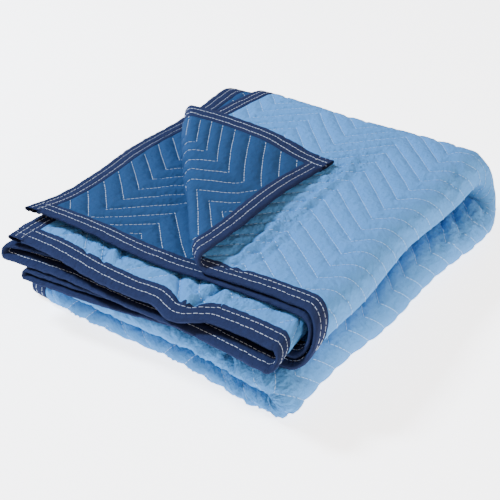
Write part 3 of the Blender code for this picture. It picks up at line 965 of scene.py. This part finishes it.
class Shader:
    """A material's node tree, and the one way in which its nodes are made."""

    def __init__(self, name: str) -> None:
        """Starts a material with a Principled shader."""
        self.material = bpy.data.materials.new(name)
        self.material.use_nodes = True
        self.tree = self.material.node_tree
        self.principled = self.tree.nodes["Principled BSDF"]

    def node(self, kind: str, settings: dict[str, object], inputs: dict[int | str, object],
             output: int | str = 0) -> Socket:
        """Adds a node.

        Args:
            kind: the node's type.
            settings: its properties, set first.
            inputs: values or sockets for its inputs, by name or number.
            output: which of its outputs is wanted.

        Returns:
            That output.
        """
        made = self.tree.nodes.new(kind)
        for key, value in settings.items():
            setattr(made, key, value)
        for key, value in inputs.items():
            self.feed(made.inputs[key], value)
        return Socket(self, made.outputs[output])

    def feed(self, target: bpy.types.NodeSocket, value: object) -> None:
        """Links or sets one input."""
        if isinstance(value, Socket):
            self.tree.links.new(value.output, target)
        else:
            target.default_value = value

    def surface(self, inputs: dict[str, object]) -> None:
        """Links or sets inputs of the Principled shader."""
        for name, value in inputs.items():
            self.feed(self.principled.inputs[name], value)

    def cloth(self) -> Socket:
        """The piece's flat coordinates."""
        return self.node("ShaderNodeUVMap", {"uv_map": "cloth"}, {})

    def along(self, place: Socket, axis: str) -> Socket:
        """One number of a place."""
        return self.node("ShaderNodeSeparateXYZ", {}, {0: place}, axis)

    def noise(self, place: Socket, scale: float, detail: float) -> Socket:
        """Even noise from 0 to 1, at this many features a metre."""
        return self.node("ShaderNodeTexNoise", {}, {"Vector": place, "Scale": scale, "Detail": detail})

    def mix(self, share: Socket, low: Colour, high: Colour) -> Socket:
        """A colour between two."""
        inputs = {0: share, 6: (*low, 1.0), 7: (*high, 1.0)}
        return self.node("ShaderNodeMix", {"data_type": "RGBA"}, inputs, 2)


@dataclass(frozen=True)
class Woven:
    """A plain woven cloth: two tones of yarn, a soft nap, an even weave and fine wrinkles."""

    name: str
    dark: Colour
    light: Colour
    yarn: float
    roughness: float
    sheen: float
    relief: float
    depth: float = 0.0008
    nap_scale: float = 900.0
    tone_scale: float = 45.0
    wrinkle_scale: float = 150.0

    def make(self) -> bpy.types.Material:
        """Builds the material: its weave is the product of two sine waves, half a wave to a yarn."""
        shader = Shader(self.name)
        cloth = shader.cloth()
        across = (shader.along(cloth, "X") * (math.pi / self.yarn)).wave()
        along = (shader.along(cloth, "Y") * (math.pi / self.yarn)).wave()
        weave = across * along
        fine = shader.noise(cloth, self.nap_scale, 3.0)
        broad = shader.noise(cloth, self.tone_scale, 2.0)
        share = fine * 0.75 + broad * 0.45 + weave * 0.10 - 0.1
        colour = shader.mix(share, self.dark, self.light)
        rumpled = shader.node("ShaderNodeAttribute", {"attribute_name": "rumpled"}, {}, "Fac")
        wrinkles = shader.noise(cloth, self.wrinkle_scale, 5.0) * (rumpled * 1.5 + 1.0)
        height = weave * 0.2 + fine * 0.4 + wrinkles * 5.0
        inputs = {"Strength": self.relief, "Distance": self.depth, "Height": height}
        bump = shader.node("ShaderNodeBump", {}, inputs)
        shader.surface({
            "Base Color": colour, "Roughness": self.roughness, "Sheen Weight": self.sheen,
            "Sheen Roughness": 0.5, "Specular IOR Level": 0.03, "Normal": bump,
        })
        return shader.material


def aimed(name: str, data: bpy.types.ID, place: Place, target: Place) -> bpy.types.Object:
    """Puts a lamp or a camera into the scene at its place, looking at its target."""
    made = placed(name, data)
    made.location = place
    made.rotation_euler = (Vector(target) - Vector(place)).to_track_quat("-Z", "Y").to_euler()
    return made


@dataclass(frozen=True)
class Lamp:
    """A square soft lamp aimed at the blanket."""

    name: str
    place: Place
    size: float
    power: float
    tint: Colour
    target: Place = (0.0, 0.0, 0.05)

    def build(self) -> None:
        """Makes the lamp."""
        data = bpy.data.lights.new(self.name, "AREA")
        data.shape = "SQUARE"
        data.size = self.size
        data.energy = self.power
        data.color = self.tint
        aimed(self.name, data, self.place, self.target)


@dataclass(frozen=True)
class Studio:
    """Plain pale floor, soft light and the camera."""

    camera_place: Place = (0.7671, -1.0785, 0.8146)
    camera_target: Place = (0.0862, -0.1433, 0.1168)
    lens: float = 86.4
    sensor: float = 36.0
    sky: Colour = (1.0, 0.80, 0.67)
    sky_strength: float = 0.70
    floor_reach: float = 8.0
    floor_height: float = -0.0004
    floor_glow: float = 3.2
    lamps: tuple[Lamp, ...] = (
        Lamp("key_lamp", (-1.8, -0.6, 2.0), 0.5, 172.0, (0.86, 1.0, 1.20)),
        Lamp("fill_lamp", (2.8, -0.5, 1.2), 1.5, 84.0, (1.0, 0.86, 0.76)),
    )

    def floor(self) -> None:
        """A wide pale floor just under the blanket."""
        mesh = bpy.data.meshes.new("floor")
        turns = ((-1, -1), (1, -1), (1, 1), (-1, 1))
        corners = [(x * self.floor_reach, y * self.floor_reach, self.floor_height) for x, y in turns]
        mesh.from_pydata(corners, [], [(0, 1, 2, 3)])
        made = placed("floor", mesh)
        shader = Shader("pale_floor")
        shader.surface({
            "Base Color": (0.90, 0.90, 0.90, 1.0), "Emission Color": (1.0, 1.0, 1.0, 1.0),
            "Emission Strength": self.floor_glow, "Roughness": 0.9, "Specular IOR Level": 0.0,
        })
        mesh.materials.append(shader.material)

    def build(self) -> None:
        """Sets up the floor, the lamps, the sky and the camera."""
        self.floor()
        for lamp in self.lamps:
            lamp.build()
        world = bpy.data.worlds.new("studio")
        world.use_nodes = True
        background = world.node_tree.nodes["Background"]
        background.inputs["Color"].default_value = (*self.sky, 1.0)
        background.inputs["Strength"].default_value = self.sky_strength
        bpy.context.scene.world = world
        data = bpy.data.cameras.new("camera")
        data.lens = self.lens
        data.sensor_width = self.sensor
        bpy.context.scene.camera = aimed("camera", data, self.camera_place, self.camera_target)


LIGHT_CLOTH = Woven(
    "light_cloth_weave", dark=(0.047, 0.185, 0.43), light=(0.079, 0.255, 0.565),
    yarn=0.0007, roughness=0.9, sheen=0.03, relief=0.9,
)
DARK_CLOTH = Woven(
    "dark_cloth_weave", dark=(0.010, 0.034, 0.090), light=(0.018, 0.056, 0.140),
    yarn=0.0007, roughness=0.9, sheen=0.0, relief=0.7,
)
NAVY_TAPE = Woven(
    "tape_weave", dark=(0.009, 0.014, 0.041), light=(0.017, 0.025, 0.067),
    yarn=0.0009, roughness=0.85, sheen=0.0, relief=0.7,
)
PALE_THREAD = Woven(
    "thread_twist", dark=(0.34, 0.42, 0.54), light=(0.52, 0.60, 0.72),
    yarn=0.0006, roughness=0.7, sheen=0.0, relief=0.3,
)
SOFT_THREAD = Woven(
    "light_thread_twist", dark=(0.26, 0.46, 0.72), light=(0.38, 0.58, 0.84),
    yarn=0.0006, roughness=0.7, sheen=0.0, relief=0.3,
)
CREASES = (
    Crease((0.272, 0.045), (0.268, 0.110), 0.0045, -0.0028),
    Crease((0.280, 0.055), (0.275, 0.140), 0.0040, 0.0024),
    Crease((0.289, 0.080), (0.283, 0.165), 0.0040, -0.0024),
    Crease((0.277, 0.150), (0.270, 0.235), 0.0045, -0.0026),
    Crease((0.286, 0.170), (0.279, 0.260), 0.0045, 0.0022),
    Crease((0.297, 0.050), (0.294, 0.125), 0.0040, 0.0018),
    Crease((0.284, 0.020), (0.290, 0.075), 0.0045, -0.0030),
    Crease((0.297, 0.018), (0.303, 0.065), 0.0045, -0.0026),
    Crease((0.304, 0.070), (0.302, 0.130), 0.0045, -0.0022),
    Crease((0.294, 0.110), (0.290, 0.190), 0.0045, -0.0028),
    Crease((0.303, 0.135), (0.298, 0.200), 0.0045, -0.0020),
    Crease((0.293, 0.195), (0.285, 0.262), 0.0045, -0.0026),
    Crease((0.283, 0.262), (0.262, 0.330), 0.0050, 0.0018),
    Crease((0.275, 0.255), (0.255, 0.310), 0.0045, -0.0018),
    Crease((0.300, 0.240), (0.286, 0.300), 0.0050, -0.0012),
    Crease((0.428, 0.030), (0.431, 0.470), 0.0040, 0.0014),
    Crease((0.392, 0.395), (0.416, 0.345), 0.0045, -0.0026),
    Crease((0.398, 0.350), (0.418, 0.330), 0.0040, -0.0024),
    Crease((0.380, 0.420), (0.400, 0.395), 0.0060, 0.0016),
    Crease((0.434, 0.606), (0.466, 0.580), 0.0050, -0.0045),
    Crease((0.474, 0.618), (0.444, 0.622), 0.0040, -0.0039),
    Crease((0.474, 0.628), (0.442, 0.640), 0.0040, 0.0033),
    Crease((0.472, 0.640), (0.440, 0.660), 0.0040, -0.0039),
    Crease((0.472, 0.656), (0.442, 0.684), 0.0040, 0.0027),
    Crease((0.468, 0.680), (0.444, 0.700), 0.0040, -0.0024),
    Crease((1.465, 1.978), (1.428, 2.006), 0.0045, -0.0042),
    Crease((1.442, 1.970), (1.423, 1.990), 0.0040, -0.0038),
    Crease((1.414, 2.006), (1.402, 1.976), 0.0045, -0.0051),
    Crease((1.424, 2.006), (1.412, 1.980), 0.0040, 0.0038),
    Crease((1.390, 1.996), (1.398, 1.972), 0.0050, 0.0032),
    Crease((1.580, 1.970), (1.555, 2.004), 0.0045, -0.0042),
    Crease((1.558, 1.965), (1.540, 1.988), 0.0040, -0.0048),
    Crease((1.608, 1.972), (1.586, 2.004), 0.0045, -0.0035),
    Crease((1.568, 1.965), (1.548, 1.996), 0.0045, 0.0022),
    Crease((1.340, 1.975), (1.328, 1.998), 0.0050, -0.0029),
    Crease((0.313, 1.006), (0.322, 1.026), 0.0045, -0.0019),
    Crease((0.343, 1.002), (0.347, 1.024), 0.0042, -0.0020),
    Crease((0.353, 1.002), (0.355, 1.024), 0.0040, 0.0013),
    Crease((0.365, 1.004), (0.370, 1.028), 0.0042, -0.0026),
    Crease((0.383, 1.004), (0.386, 1.028), 0.0042, -0.0020),
    Crease((0.393, 1.000), (0.400, 1.020), 0.0042, 0.0016),
    Crease((0.404, 1.004), (0.414, 1.020), 0.0042, -0.0022),
    Crease((0.418, 1.004), (0.426, 1.022), 0.0045, 0.0013),
    Crease((0.330, 1.032), (0.385, 1.028), 0.0045, 0.0011),
    Crease((0.512, 1.014), (0.520, 1.006), 0.0055, -0.0030),
    Crease((0.497, 1.004), (0.488, 1.018), 0.0042, -0.0019),
    Crease((0.505, 1.020), (0.500, 1.008), 0.0040, 0.0013),
    Crease((0.530, 1.004), (0.538, 1.020), 0.0045, -0.0016),
    Crease((0.552, 1.006), (0.560, 1.022), 0.0045, 0.0012),
    Crease((0.575, 1.006), (0.585, 1.022), 0.0045, -0.0013),
    Crease((0.612, 1.006), (0.622, 1.022), 0.0050, -0.0011),
)
RUMPLES = (
    Rumple((0.275, 0.120), (0.022, 0.090), 0.020, 0.0014, 1.3),
    Rumple((0.262, 0.300), (0.022, 0.060), 0.022, 0.0010, 2.1),
    Rumple((0.520, 1.015), (0.080, 0.020), 0.022, 0.0018, 3.4),
    Rumple((0.360, 1.015), (0.060, 0.020), 0.020, 0.0016, 4.2),
    Rumple((0.430, 1.012), (0.140, 0.022), 0.013, 0.0011, 8.3),
    Rumple((1.400, 1.985), (0.040, 0.030), 0.024, 0.0014, 5.7),
    Rumple((1.580, 1.975), (0.060, 0.030), 0.026, 0.0012, 6.3),
    Rumple((0.455, 0.640), (0.030, 0.060), 0.022, 0.0010, 7.1),
)
TUCKS = (
    Tuck((0.436, 0.480), (0.433, 0.030), 0.0060, 0.0024),
)
FACE_SHOWN = (
    Opened((0.0, 0.49), (0.0, 0.56)),
    Opened((0.36, 0.50), (0.0, 1.08)),
    Opened((0.0, 0.47), (0.95, 1.10)),
    Opened((0.85, 1.70), (1.90, 2.03)),
    Opened((1.60, 1.70), (1.50, 2.03)),
    Opened((1.23, 1.33), (0.0, 0.14)),
)
BACK_SHOWN = (
    Opened((0.0, 0.30), (0.0, 0.32)),
    Opened((1.28, 1.70), (0.0, 0.50)),
    Opened((0.0, 1.70), (0.0, 0.09)),
    Opened((0.0, 1.70), (1.94, 2.03)),
)


def dress(made: bpy.types.Object, finish: bpy.types.Material, slot: str, *nodes: str) -> None:
    """Gives a piece its material and body, and hides the nodes that it stands for.

    Args:
        made: the piece.
        finish: its material.
        slot: not used.
        nodes: the part's nodes that it replaces, if any.
    """
    made.data.materials.append(finish)
    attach(made, "root")
    if nodes:
        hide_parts(*nodes)
    LOG.info("%s: %d faces", made.name, len(made.data.polygons))


def main() -> None:
    """Builds the blanket's pieces in order, and the studio round them."""
    logging.basicConfig(level=logging.INFO, format="%(name)s: %(message)s")
    folds = Folds()
    relief = Relief(creases=CREASES, rumples=RUMPLES, tucks=TUCKS)
    light, dark, navy = LIGHT_CLOTH.make(), DARK_CLOTH.make(), NAVY_TAPE.make()
    pale, soft = PALE_THREAD.make(), SOFT_THREAD.make()

    face = Panel(Side.FACE, relief, folds, FACE_SHOWN).build("face_cloth")
    dress(face, light, "light_cloth", "face_panel")
    back = Panel(Side.BACK, relief, folds, BACK_SHOWN).build("back_cloth")
    dress(back, dark, "dark_cloth", "back_panel")
    edges = {"left": (True, False), "right": (True, True), "head": (False, False), "foot": (False, True)}
    tapes = {name: Tape(along_v, at_end, relief, folds) for name, (along_v, at_end) in edges.items()}
    for name, tape in tapes.items():
        made = tape.build(f"tape_{name}")
        dress(made, navy, "binding_tape", f"binding_{name}")
    thread = Thread(folds)
    fine_thread = Thread(folds, radius=0.00034)
    for side, shown in ((Side.FACE, FACE_SHOWN), (Side.BACK, BACK_SHOWN)):
        runs = QuiltingThread(fine_thread, relief, side, shown).runs()
        made = fine_thread.stitched(f"quilting_thread_{side.name.lower()}", runs)
        dress(made, soft if side is Side.FACE else pale, "light_cloth")
    made = thread.stitched("tape_thread", TapeThread(thread, tuple(tapes.values())).runs())
    dress(made, pale, "light_cloth")
    Studio().build()


if __name__ == "__main__":
    main()
